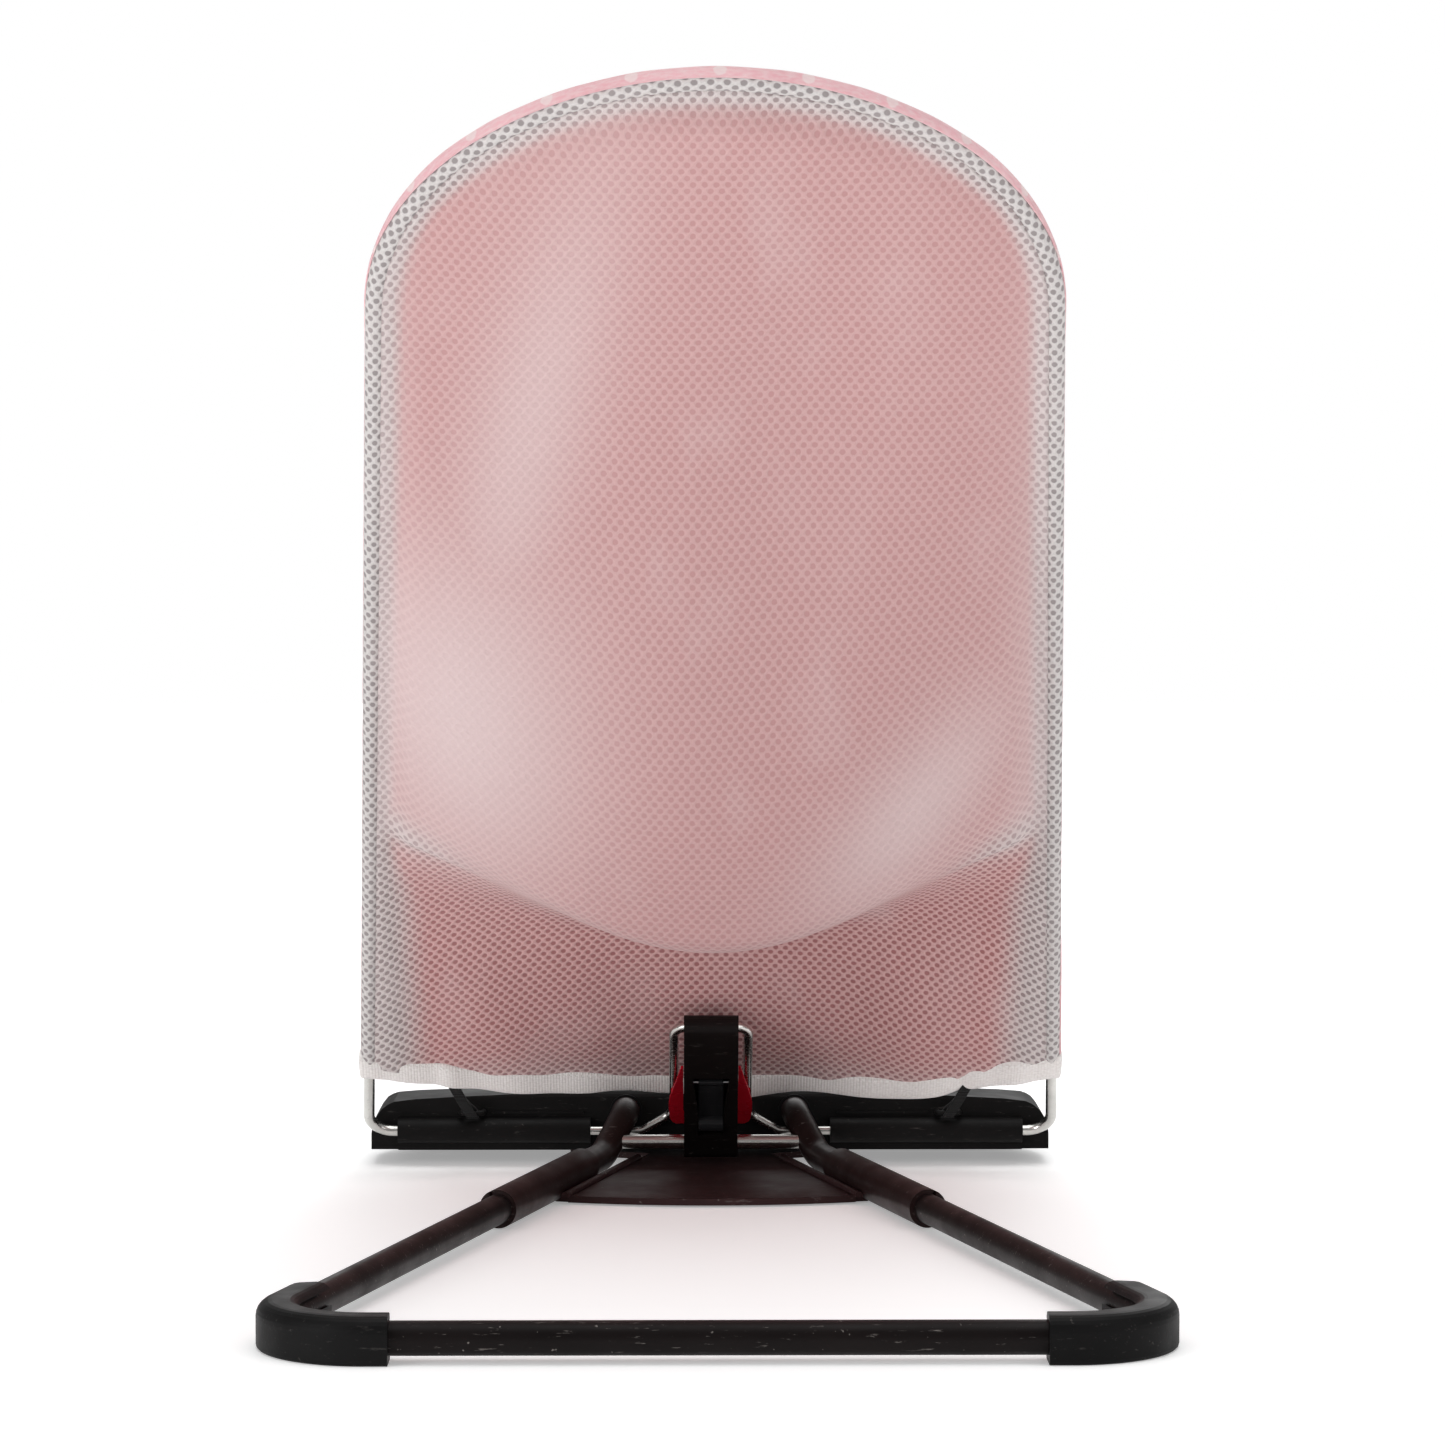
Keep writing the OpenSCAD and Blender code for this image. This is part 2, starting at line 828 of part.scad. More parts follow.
function cloth_grid(from_hem, lift, thick) = [
    for (j = [0 : rows]) [
        for (i = [0 : cols])
            let (
                u = sin(90 * (-1 + 2 * i / cols)),
                s = row_s(u, j, hem_s(u) + from_hem, cloth_top_s),
                x = u * rod_half(s)
            )
            [x, s, sag(u, s) + lift * (cloth_gap + rim_lift(u, s)) + thick]
    ]
];

module front_cover() {
    color("#d98e97")
        leaning(seat_angle)
            cloth_sheet(cloth_grid(7, -1, -front_t), cloth_grid(7, -1, 0));
}

module back_cover() {
    color("#b98c90")
        leaning(seat_angle)
            cloth_sheet(cloth_grid(7, 1, 0), cloth_grid(7, 1, back_t));
}

function hem_grid(thick) = [
    for (k = [-3, 6.5]) [
        for (i = [0 : cols])
            let (u = 0.985 * sin(90 * (-1 + 2 * i / cols)), s = hem_s(u) + k, x = u * rod_half(s))
            [x, s, sag(u, s) + sign(thick) * rim_lift(u, s) + thick]
    ]
];

module hem_binding() {
    color("#e9e4df")
        leaning(seat_angle)
            cloth_sheet(hem_grid(-3.4), hem_grid(2.4));
}

// ---------------------------------------------------------------- restraint, seen from the front

function panel_half(q) = 34 + 96 * smooth((q - 0.45) / 0.45);
function panel_front(u, q) = -(14 + 40 * sin(180 * min(1, q * 0.62)) * (1 - 0.72 * pow(abs(u), 2)));

function panel_grid(thick) = [
    for (j = [0 : 14]) [
        for (i = [0 : 12])
            let (q = j / 14, u = -1 + i / 6)
            [u * panel_half(q), panel_from + (panel_to - panel_from) * q, panel_front(u, q) + thick]
    ]
];

module restraint_panel() {
    color("#d98e97")
        leaning(seat_angle)
            cloth_sheet(panel_grid(-3), panel_grid(0));
}

module restraint_buttons() {
    color("#e9e4df")
        leaning(seat_angle)
            for (x = [-button_x, button_x])
                translate([x, button_s, -26])
                    cylinder(h = 3, d = 16);
}

// ---------------------------------------------------------------- elastic straps

module elastic_strap(side) {
    top = [hinge_y - strap_s * cos(seat_angle), hinge_z + strap_s * sin(seat_angle)];
    foot = [beam_rear_y - 9, hook_z + 3.7];
    slope = atan2(foot[1] - top[1], foot[0] - top[0]);
    color("#101010")
        translate([side * strap_x, foot[0], foot[1]])
            rotate([slope, 0, 0])
                translate([-3, -norm(foot - top), -0.7])
                    cube([6, norm(foot - top), 1.4]);
}

rear_tube();
mirror([1, 0, 0]) corner_cover();  // corner_cover_left
corner_cover();  // corner_cover_right
mirror([1, 0, 0]) sleeve();  // sleeve_left
sleeve();  // sleeve_right
base_plate();
plate_rails();
floor_pads();
plate_screws();
mirror([1, 0, 0]) riser();  // riser_left
riser();  // riser_right
cross_bar();
front_beam();
beam_cover();
beam_screws();
socket_collars();
rod_bushes();
strap_hooks();
lock_block();
thumb_latch();
latch_pin();
seat_rod();
lock_loop();
release_catch();
front_cover();
back_cover();
hem_binding();
rim_piping();
restraint_panel();
restraint_buttons();
elastic_strap(-1);  // elastic_strap_left
elastic_strap(1);  // elastic_strap_right
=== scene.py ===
import json
import math

import bmesh
import bpy
import numpy as np
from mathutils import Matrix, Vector


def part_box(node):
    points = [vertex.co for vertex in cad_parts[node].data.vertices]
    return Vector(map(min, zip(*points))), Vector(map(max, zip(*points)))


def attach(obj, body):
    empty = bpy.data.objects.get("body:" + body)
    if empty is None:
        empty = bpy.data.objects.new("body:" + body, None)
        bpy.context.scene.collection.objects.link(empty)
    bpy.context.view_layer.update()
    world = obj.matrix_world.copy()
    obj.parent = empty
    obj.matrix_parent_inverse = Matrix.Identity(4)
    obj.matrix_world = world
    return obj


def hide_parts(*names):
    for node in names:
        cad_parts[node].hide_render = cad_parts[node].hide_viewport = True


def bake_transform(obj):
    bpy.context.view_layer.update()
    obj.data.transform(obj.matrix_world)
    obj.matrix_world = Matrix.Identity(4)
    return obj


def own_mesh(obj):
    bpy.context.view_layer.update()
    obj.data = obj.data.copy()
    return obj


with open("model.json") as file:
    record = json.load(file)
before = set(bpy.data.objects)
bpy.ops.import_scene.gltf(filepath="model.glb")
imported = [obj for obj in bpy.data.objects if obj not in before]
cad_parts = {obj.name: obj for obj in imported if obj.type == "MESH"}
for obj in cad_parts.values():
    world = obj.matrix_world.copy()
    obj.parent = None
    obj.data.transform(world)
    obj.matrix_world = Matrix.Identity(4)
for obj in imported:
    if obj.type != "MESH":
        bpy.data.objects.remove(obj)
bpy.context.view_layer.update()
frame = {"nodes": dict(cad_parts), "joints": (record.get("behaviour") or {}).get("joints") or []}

# ---------------------------------------------------------------- camera and light

CAMERA_AT = (-0.0152, -2.1935, 0.3632)
CAMERA_DOWN = math.radians(2.785)
CAMERA_TURN = -0.009
LENS_MM = 110.9
SENSOR_MM = 36.0
LIT_AT = (0, 0, 0.28)
LAMPS = (
    # name, place, size and power
    ("left", (-2.0, -1.7, 0.7), (1.2, 1.1), 21),
    ("right", (2.1, -1.5, 1.1), (1.2, 1.2), 8),
    ("top", (0.1, -0.1, 2.5), (2.4, 2.4), 35),
    ("front", (0.3, 2.3, 1.3), (1.8, 1.4), 19),
)
AMBIENT = 0.33
BACKDROP = 1.0

camera_data = bpy.data.cameras.new("camera")
camera_data.lens = LENS_MM
camera_data.sensor_width = SENSOR_MM
camera = bpy.data.objects.new("camera", camera_data)
camera.location = CAMERA_AT
camera.rotation_euler = (math.pi / 2 - CAMERA_DOWN, 0, CAMERA_TURN)
bpy.context.scene.collection.objects.link(camera)
bpy.context.scene.camera = camera

for name, at, size, power in LAMPS:
    lamp_data = bpy.data.lights.new(name, "AREA")
    lamp_data.shape = "RECTANGLE"
    lamp_data.size, lamp_data.size_y = size
    lamp_data.energy = power
    lamp = bpy.data.objects.new(name, lamp_data)
    lamp.location = at
    lamp.rotation_euler = (Vector(LIT_AT) - Vector(at)).to_track_quat("-Z", "Y").to_euler()
    bpy.context.scene.collection.objects.link(lamp)

world = bpy.data.worlds.new("world")
bpy.context.scene.world = world
world.use_nodes = True
background = world.node_tree.nodes["Background"]
background.inputs["Color"].default_value = (1, 1, 1, 1)
seen = world.node_tree.nodes.new("ShaderNodeLightPath").outputs["Is Camera Ray"]
level = world.node_tree.nodes.new("ShaderNodeMapRange")
level.inputs["To Min"].default_value = AMBIENT
level.inputs["To Max"].default_value = BACKDROP
world.node_tree.links.new(seen, level.inputs["Value"])
world.node_tree.links.new(level.outputs["Result"], background.inputs["Strength"])
bpy.context.scene.view_settings.view_transform = "Standard"

# ---------------------------------------------------------------- materials

MM = 0.001


class Graph:
    """The node tree of one material, with short calls for the nodes that are used here."""

    def __init__(self, name, base, roughness, **sockets):
        self.material = bpy.data.materials.new(name)
        self.material.use_nodes = True
        self.tree = self.material.node_tree
        self.shader = self.tree.nodes["Principled BSDF"]
        self.shader.inputs["Base Color"].default_value = (*base, 1)
        self.shader.inputs["Roughness"].default_value = roughness
        for key, value in sockets.items():
            self.shader.inputs[key.replace("_", " ")].default_value = value

    def put(self, socket, value):
        if isinstance(value, bpy.types.NodeSocket):
            self.tree.links.new(value, socket)
        elif isinstance(value, tuple) and len(value) == 3 and socket.type == "RGBA":
            socket.default_value = (*value, 1)
        else:
            socket.default_value = value

    def node(self, kind, inputs=(), **props):
        made = self.tree.nodes.new(kind)
        for key, value in props.items():
            setattr(made, key, value)
        for key, value in dict(inputs).items():
            self.put(made.inputs[key], value)
        return made

    def math(self, operation, *values):
        made = self.tree.nodes.new("ShaderNodeMath")
        made.operation = operation
        for socket, value in zip(made.inputs, values):
            self.put(socket, value)
        return made.outputs[0]

    def object_coords(self, stretch=(1, 1, 1)):
        return self.stretched(self.node("ShaderNodeTexCoord").outputs["Object"], stretch)

    def stretched(self, vector, scale):
        return self.node("ShaderNodeMapping", {"Vector": vector, "Scale": scale}).outputs["Vector"]

    def flat_coords(self):
        """Coordinates on the flat cloth in metres, as a vector and as separate numbers."""
        flat = self.attribute("flat")
        parts = self.node("ShaderNodeSeparateXYZ", {"Vector": flat})
        return flat, parts.outputs["X"], parts.outputs["Y"]

    def wave(self, value, period):
        """A sine wave along a coordinate, with its period in millimetres."""
        return self.math("SINE", self.math("MULTIPLY", value, math.tau / (period * MM)))

    def attribute(self, name, output="Vector"):
        return self.node("ShaderNodeAttribute", attribute_name=name).outputs[output]

    def noise(self, vector, scale, detail=2.0, roughness=0.5):
        inputs = {"Vector": vector, "Scale": scale, "Detail": detail, "Roughness": roughness}
        return self.node("ShaderNodeTexNoise", inputs).outputs["Fac"]

    def spread(self, value, low, high, to_low=0.0, to_high=1.0):
        limits = {"From Min": low, "From Max": high, "To Min": to_low, "To Max": to_high}
        return self.node("ShaderNodeMapRange", {"Value": value, **limits}).outputs["Result"]

    def mix(self, share, a, b):
        made = self.node("ShaderNodeMix", data_type="RGBA")
        self.put(made.inputs[0], share)
        self.put(made.inputs[6], a)
        self.put(made.inputs[7], b)
        return made.outputs[2]

    def color(self, value):
        self.put(self.shader.inputs["Base Color"], value)

    def rough(self, value):
        self.put(self.shader.inputs["Roughness"], value)

    def bump(self, height, depth):
        """Relief with its full depth in millimetres."""
        inputs = {"Height": height, "Distance": depth * MM, "Strength": 1.0}
        made = self.node("ShaderNodeBump", inputs)
        self.put(self.shader.inputs["Normal"], made.outputs["Normal"])


FINISH_SPECULAR = 0.11
SCUFF_TONE = (0.34, 0.31, 0.29)
LINE_DEPTH = 0.02


def moulded(name, dark, light, roughness, grain, depth, scuffs):
    """A moulded or coated surface: fine grain, soft changes of tone, pale scuffs and dust."""
    g = Graph(name, dark, roughness, Specular_IOR_Level=FINISH_SPECULAR)
    at = g.object_coords()
    cloud = g.spread(g.noise(at, 14, 3), 0.35, 0.7)
    tone = g.mix(cloud, dark, light)
    fine = g.noise(at, grain, 1)
    rub = g.noise(g.object_coords((9, 60, 60)), 9, 4, 0.7)
    worn = g.math("MULTIPLY", g.spread(rub, 0.62, 0.74), scuffs)
    dust = g.math("MULTIPLY", g.spread(g.noise(at, 230, 2, 0.8), 0.7, 0.76), scuffs)
    worn = g.math("MAXIMUM", worn, dust)
    g.color(g.mix(worn, tone, SCUFF_TONE))
    uneven = g.spread(g.noise(at, 45, 3), 0.3, 0.7, roughness - 0.07, roughness + 0.08)
    g.rough(g.math("ADD", uneven, g.math("MULTIPLY", worn, 0.3)))
    g.bump(fine, depth)
    return g.material


def metal(name, tint, roughness):
    """Plated rod: long drawing lines, a slightly cloudy plating."""
    g = Graph(name, tint, roughness, Metallic=1.0)
    at = g.object_coords()
    lines = g.noise(g.object_coords((1, 40, 40)), 60, 3)
    cloud = g.noise(at, 35, 3)
    darker = tuple(c * 0.72 for c in tint)
    g.color(g.mix(g.spread(cloud, 0.3, 0.75), tint, darker))
    g.rough(g.spread(lines, 0.3, 0.7, roughness - 0.05, roughness + 0.1))
    g.bump(lines, LINE_DEPTH)
    return g.material


MOULDED = {
    # name: dark and light tone, roughness, grain, its depth in millimetres, scuffs
    "black_tube": ((0.0045, 0.003, 0.003), (0.009, 0.006, 0.0058), 0.42, 700, 0.03, 0.5),
    "brown_tube": ((0.012, 0.0055, 0.0055), (0.021, 0.0105, 0.0098), 0.42, 700, 0.03, 0.25),
    "rubber": ((0.0035, 0.0034, 0.0035), (0.007, 0.0068, 0.007), 0.5, 600, 0.05, 0.12),
    "plate_plastic": ((0.026, 0.011, 0.0112), (0.042, 0.0195, 0.02), 0.5, 450, 0.08, 0.45),
    "beam_plastic": ((0.003, 0.0026, 0.0026), (0.006, 0.0055, 0.0054), 0.55, 520, 0.08, 0.12),
    "lock_plastic": ((0.005, 0.0035, 0.0033), (0.008, 0.006, 0.0058), 0.5, 480, 0.06, 0.15),
    "lock_gloss": ((0.012, 0.012, 0.013), (0.022, 0.022, 0.023), 0.2, 300, 0.02, 0.1),
    "nylon": ((0.03, 0.03, 0.033), (0.05, 0.05, 0.053), 0.4, 400, 0.04, 0.0),
    "red_plastic": ((0.5, 0.004, 0.018), (0.68, 0.012, 0.03), 0.27, 260, 0.03, 0.0),
    "white_plastic": ((0.78, 0.75, 0.71), (0.86, 0.84, 0.81), 0.3, 260, 0.03, 0.0),
}
METALS = {
    # name: tint and roughness
    "steel": ((0.66, 0.65, 0.62), 0.2),
    "zinc": ((0.5, 0.5, 0.51), 0.32),
}
finishes = {name: moulded(name, *look) for name, look in MOULDED.items()}
finishes.update({name: metal(name, *look) for name, look in METALS.items()})

FINISH_NODES = {
    "black_tube": ("rear_tube",),
    "brown_tube": ("sleeve_left", "sleeve_right", "riser_left", "riser_right"),
    "rubber": ("corner_cover_left", "corner_cover_right", "floor_pads", "socket_collars"),
    "plate_plastic": ("base_plate", "plate_rails"),
    "beam_plastic": ("front_beam", "beam_cover", "strap_hooks"),
    "lock_plastic": ("lock_block",),
    "lock_gloss": ("thumb_latch",),
    "nylon": ("rod_bushes",),
    "red_plastic": ("release_catch",),
    "steel": ("cross_bar", "seat_rod", "lock_loop"),
    "zinc": ("plate_screws", "beam_screws", "latch_pin"),
}
for finish, nodes in FINISH_NODES.items():
    for name in nodes:
        data = frame["nodes"][name].data
        data.materials.clear()
        data.materials.append(finishes[finish])


HOLE_STRETCH = 0.87


def lattice_distance(g, across, along, pitch, row, offset):
    """Distance to the nearest point of a rectangular lattice, in metres, a little shorter along
    the cloth so that round holes come out taller than they are wide."""
    gaps = []
    for value, size, stretch in ((across, pitch, 1.0), (along, 2 * row, HOLE_STRETCH)):
        at = g.math("MULTIPLY", value, 1 / (size * MM))
        at = g.math("ADD", at, offset)
        near = g.math("SUBTRACT", at, g.math("ROUND", at))
        gaps.append(g.math("MULTIPLY", near, stretch * size * MM))
    squares = [g.math("MULTIPLY", x, x) for x in gaps]
    return g.math("SQRT", g.math("ADD", squares[0], squares[1]))


def staggered(g, across, along, pitch, row):
    """Distance to the nearest point of rows that are shifted by half a pitch."""
    first = lattice_distance(g, across, along, pitch, row, 0.0)
    second = lattice_distance(g, across, along, pitch, row, 0.5)
    return g.math("MINIMUM", first, second)


PINK = (0.88, 0.5, 0.54)
PINK_DEEP = (0.8, 0.42, 0.46)
CREAM = (0.88, 0.82, 0.79)
# what shows through the net's holes is painted darker than the cloth behind it, as shade in the
# holes: darker still where the cotton lies far behind, and dark grey where nothing lies behind
THREAD_NEAR = (0.57, 0.352, 0.346)
SHADED_HOLE_NEAR = (0.462, 0.25, 0.25)
THREAD_FAR = (0.63, 0.38, 0.37)
SHADED_HOLE_FAR = (0.33, 0.13, 0.13)
THREAD_RIM = (0.64, 0.62, 0.61)
SHADED_HOLE_RIM = (0.27, 0.25, 0.25)
# a pale sheen painted into the net's colour where its threads would catch the light
PAINTED_SHEEN_TONE = (0.69, 0.57, 0.57)
YARN = ((0.86, 0.83, 0.81), (0.7, 0.66, 0.64))
STITCH = (0.88, 0.86, 0.84)
RUBBER_YARN = ((0.004, 0.004, 0.004), (0.014, 0.013, 0.013))

# sizes in millimetres; a pair of radii is where a dot or hole ends and where its ground begins
DOT_PITCH = 38
DOT_ROW = 19
DOT_R = (2.2, 2.8)
DOT_UNEVEN = 0.4
SLUB_PERIOD = 0.55
MESH_PITCH = 5.2
MESH_ROW = 3.6
HOLE_R = (1.1, 1.6)
HOLE_UNEVEN = 0.35
NET_TOP_R = 2.2
RIB_PERIOD = 1.6
STITCH_PERIOD = 3.2
STITCH_ROW = 7.6
ELASTIC_PERIOD = 0.9


def dotted_cotton(name):
    g = Graph(name, PINK, 0.85, Sheen_Weight=0.25, Sheen_Roughness=0.4)
    flat, across, along = g.flat_coords()
    wobble = g.spread(g.noise(flat, 260, 2), 0, 1, -DOT_UNEVEN * MM, DOT_UNEVEN * MM)
    near = g.math("ADD", staggered(g, across, along, DOT_PITCH, DOT_ROW), wobble)
    dot = g.spread(near, DOT_R[0] * MM, DOT_R[1] * MM, 0.5, 0)
    ground = g.mix(g.spread(g.noise(flat, 22, 3), 0.3, 0.7), PINK, PINK_DEEP)
    threads = g.noise(g.stretched(flat, (900, 260, 1)), 1, 2)
    ground = g.mix(g.spread(threads, 0.35, 0.7, 0, 0.35), ground, CREAM)
    g.color(g.mix(dot, ground, CREAM))
    plain_weave = g.math("MULTIPLY", g.wave(across, SLUB_PERIOD), g.wave(along, SLUB_PERIOD))
    g.bump(g.math("ADD", plain_weave, threads), 0.1)
    return g.material


def open_mesh(name):
    """Warp-knit mesh: staggered round holes in a pale net, over what shows through behind it, with
    painted shade in the holes.
    Point attributes: open is 0 where pink cotton lies close behind the net and 1 where it lies
    far behind, and there the holes are painted darker; tone is 1 where nothing lies behind, and
    there the holes are painted dark grey; sheen is 1 where the net is drawn tight and a pale sheen
    is painted on its threads."""
    g = Graph(name, CREAM, 0.75, Sheen_Weight=0.2, Sheen_Roughness=0.4, Specular_IOR_Level=0.3)
    flat, across, along = g.flat_coords()
    tone = g.attribute("tone", "Fac")
    far = g.attribute("open", "Fac")
    wobble = g.spread(g.noise(flat, 480, 2), 0, 1, -HOLE_UNEVEN * MM, HOLE_UNEVEN * MM)
    near = g.math("ADD", staggered(g, across, along, MESH_PITCH, MESH_ROW), wobble)
    hole = g.spread(near, HOLE_R[0] * MM, HOLE_R[1] * MM, 1, 0)
    # painted shade in the holes: the pink behind them darkened, and darkened further where open is
    # 1
    behind = g.mix(tone, g.mix(far, SHADED_HOLE_NEAR, SHADED_HOLE_FAR), SHADED_HOLE_RIM)
    thread = g.mix(tone, g.mix(far, THREAD_NEAR, THREAD_FAR), THREAD_RIM)
    strands = g.noise(g.stretched(flat, (1500, 700, 1)), 1, 2)
    thread = g.mix(g.spread(strands, 0.35, 0.75, 0, 0.3), thread, behind)
    net = g.mix(hole, thread, behind)
    # pale streaks of painted sheen on the threads, joined with the painted sheen patches of the
    # sheen attribute
    streaks = g.noise(g.stretched(flat, (26, 9, 1)), 1, 3)
    cloud = g.noise(flat, 15, 2)
    sheen_share = g.math("MULTIPLY", g.spread(streaks, 0.48, 0.75, 0, 0.25), g.spread(cloud, 0.35, 0.65))
    sheen_share = g.math("MAXIMUM", sheen_share, g.attribute("sheen", "Fac"))
    g.color(g.mix(sheen_share, net, PAINTED_SHEEN_TONE))
    relief = g.spread(near, HOLE_R[0] * MM, NET_TOP_R * MM, 0, 1)
    g.bump(g.math("ADD", relief, g.math("MULTIPLY", strands, 0.25)), 0.35)
    return g.material


def binding(name):
    """Knitted binding with a row of stitches along its upper edge."""
    g = Graph(name, CREAM, 0.8, Sheen_Weight=0.3, Sheen_Roughness=0.4)
    flat, across, along = g.flat_coords()
    yarn = g.noise(g.stretched(flat, (520, 900, 1)), 1, 2)
    from_row = g.math("ABSOLUTE", g.math("SUBTRACT", along, STITCH_ROW * MM))
    stitch = g.math(
        "MULTIPLY",
        g.spread(from_row, 0.3 * MM, 0.8 * MM, 1, 0),
        g.spread(g.wave(across, STITCH_PERIOD), -0.2, 0.3),
    )
    g.color(g.mix(stitch, g.mix(g.spread(yarn, 0.3, 0.75), *YARN), STITCH))
    height = g.math("ADD", g.math("MULTIPLY", g.wave(across, RIB_PERIOD), 0.25), yarn)
    g.bump(g.math("SUBTRACT", height, stitch), 0.3)
    return g.material


def woven_elastic(name):
    g = Graph(name, RUBBER_YARN[0], 0.8, Sheen_Weight=0.06, Specular_IOR_Level=0.15)
    flat, _, along = g.flat_coords()
    fuzz = g.noise(flat, 2500, 2)
    g.color(g.mix(g.spread(fuzz, 0.4, 0.75), *RUBBER_YARN))
    g.bump(g.math("ADD", g.wave(along, ELASTIC_PERIOD), fuzz), 0.15)
    return g.material


cotton = dotted_cotton("pink_dotted_cotton")
mesh_cloth = open_mesh("open_mesh")
white_binding = binding("white_binding")
elastic = woven_elastic("woven_elastic")

# ---------------------------------------------------------------- the seat's shape

SIDES = (("left", -1), ("right", 1))

joints = {j["name"]: j for j in frame["joints"]}
HINGE = np.array(joints["seat_recline"]["pos_m"]) / MM
SEAT = math.radians(48)
ALONG = np.array([0, -math.cos(SEAT), math.sin(SEAT)])
BEHIND = np.array([0, -math.sin(SEAT), -math.cos(SEAT)])

# [across, along] in millimetres; the shoulders and the crown are corners of the rod before
# it is bent
ROD_R = 3.0
FOOT = np.array([188.0, 0.0])
SHOULDER = np.array([152.7, 643.9])
CROWN = np.array([0.0, 756.0])
SHOULDER_R = 125.0
POUCH_DEPTH = 75.0
POUCH_RISE = 90.0
SEAM_CENTRE_S = 218.0
SEAM_SIDE_S = 262.0
HEM_CENTRE_S = 27.0
HEM_RISE = 27.0
LEAF_CENTRE_S = 585.0
HEM_FALL = 9.5
LOCK_DROP = 7.0
LOCK_DROP_X = 106.0
STRAP_X = 143.0
EDGE_SPREAD = 2.0
CASING_R = ROD_R + 1.7
CASING_FROM_S = 50.0
RISER_X = 50.0

LEAN = math.atan2(FOOT[0] - SHOULDER[0], SHOULDER[1])
PITCH = math.atan2(CROWN[1] - SHOULDER[1], SHOULDER[0])
CUT = SHOULDER_R * math.tan((math.pi / 2 - LEAN - PITCH) / 2)
LOW = SHOULDER - CUT * np.array([-math.sin(LEAN), math.cos(LEAN)])
CENTRE_2 = LOW - SHOULDER_R * np.array([math.cos(LEAN), math.sin(LEAN)])
CROWN_R = (np.linalg.norm(CROWN - SHOULDER) - CUT - 1) / math.tan(PITCH)
CENTRE_1 = np.array([0.0, CROWN[1] - CROWN_R / math.cos(PITCH)])
CROWN_TOP = CENTRE_1[1] + CROWN_R


def world_point(x, s, n):
    """Metres in the row frame from [across, along, behind] in millimetres."""
    x, s, n = np.broadcast_arrays(x, s, n)
    out = np.empty(x.shape + (3,))
    for axis in range(3):
        out[..., axis] = HINGE[axis] + s * ALONG[axis] + n * BEHIND[axis]
    out[..., 0] = x
    return out * MM


def smooth(q):
    """0 below 0, 1 above 1 and a soft step between."""
    q = np.clip(q, 0, 1)
    return q * q * (3 - 2 * q)


def bell(q, width):
    return np.exp(-((q / width) ** 2))


def rod_line(from_s, count):
    """The right half of the rod's centreline from a distance along the seat to the crown:
    points [across, along] and outward directions, evenly spaced."""
    angles_2 = np.linspace(LEAN, math.pi / 2 - PITCH, 60)
    angles_1 = np.linspace(math.pi / 2 - PITCH, math.pi / 2, 80)
    straight = np.linspace(from_s, LOW[1], 60)[:-1]
    points = [(FOOT[0] - s * math.tan(LEAN), s, LEAN) for s in straight]
    for centre, radius, angles in ((CENTRE_2, SHOULDER_R, angles_2), (CENTRE_1, CROWN_R, angles_1)):
        for a in angles:
            points.append((centre[0] + radius * math.cos(a), centre[1] + radius * math.sin(a), a))
    points = np.array(points)
    step = np.r_[0, np.cumsum(np.hypot(*np.diff(points[:, :2], axis=0).T))]
    even = np.linspace(0, step[-1], count)
    x, s, a = (np.interp(even, step, points[:, k]) for k in range(3))
    x[-1] = 0
    return x, s, np.cos(a), np.sin(a), even


def rod_half(s):
    """Half the distance between the rod's two sides."""
    s = np.asarray(s, float)
    high = CENTRE_2[1] + SHOULDER_R * math.cos(PITCH)
    side = FOOT[0] - s * math.tan(LEAN)
    shoulder = CENTRE_2[0] + np.sqrt(np.maximum(0, SHOULDER_R**2 - (s - CENTRE_2[1]) ** 2))
    crown = np.sqrt(np.maximum(0, CROWN_R**2 - (s - CENTRE_1[1]) ** 2))
    return np.where(s < LOW[1], side, np.where(s < high, shoulder, crown))


def hem_s(u):
    """Where the cloth's lower edge lies along the seat."""
    return HEM_CENTRE_S + HEM_RISE * np.abs(u) ** 2.3


def share_across(x, s):
    """-1 on the left side of the rod, 0 in the middle and 1 on the right side."""
    return np.clip(x / np.maximum(rod_half(s), 1), -1, 1)


def seam_s(u):
    """Where the pouch's lower edge lies along the seat."""
    return SEAM_SIDE_S - (SEAM_SIDE_S - SEAM_CENTRE_S) * (1 + np.cos(math.pi * u)) / 2


def rod_gap(x, s):
    """Distance from the rod's centreline."""
    crown = CROWN_R - np.hypot(x, np.maximum(0, s - CENTRE_1[1]))
    return np.minimum(rod_half(s) - np.abs(x), crown)


def drop(x, s):
    """How far the cloth hangs down to the right of the lock."""
    return -LOCK_DROP * bell(x - LOCK_DROP_X, 36) * smooth((170 - s) / 120)


def sag(x, s):
    """How far the cloth lies behind the plane of the rod."""
    u = share_across(x, s)
    rise = smooth((s - seam_s(u)) / POUCH_RISE + 0.76)
    fall = 1 - 0.86 * smooth((s - 270) / 300)
    field = (1 - u * u) * (POUCH_DEPTH * rise * fall - HEM_FALL * (1 - smooth((s - 30) / 60)))
    clear = smooth((rod_gap(x, s) - 4) / 18)
    return clear * (field + folds(x, s, u))


def painted_sheen(x, s):
    """Share of a pale sheen painted into the net's colour where the net is drawn tight over the
    pouch, mostly on the left.
    """
    left = 0.75 * bell(x + 125, 62) * bell(s - 350, 105)
    streak = 0.5 * bell(x + 92 - 0.22 * (s - 500), 30) * bell(s - 520, 150)
    right = 0.6 * bell(x - 98 - 0.5 * (s - 300), 42) * bell(s - 300, 60)
    edge = 0.45 * smooth((np.abs(x) - 125) / 50) * smooth((s - 200) / 80)
    return np.maximum(np.maximum(left, streak), np.maximum(right, edge))


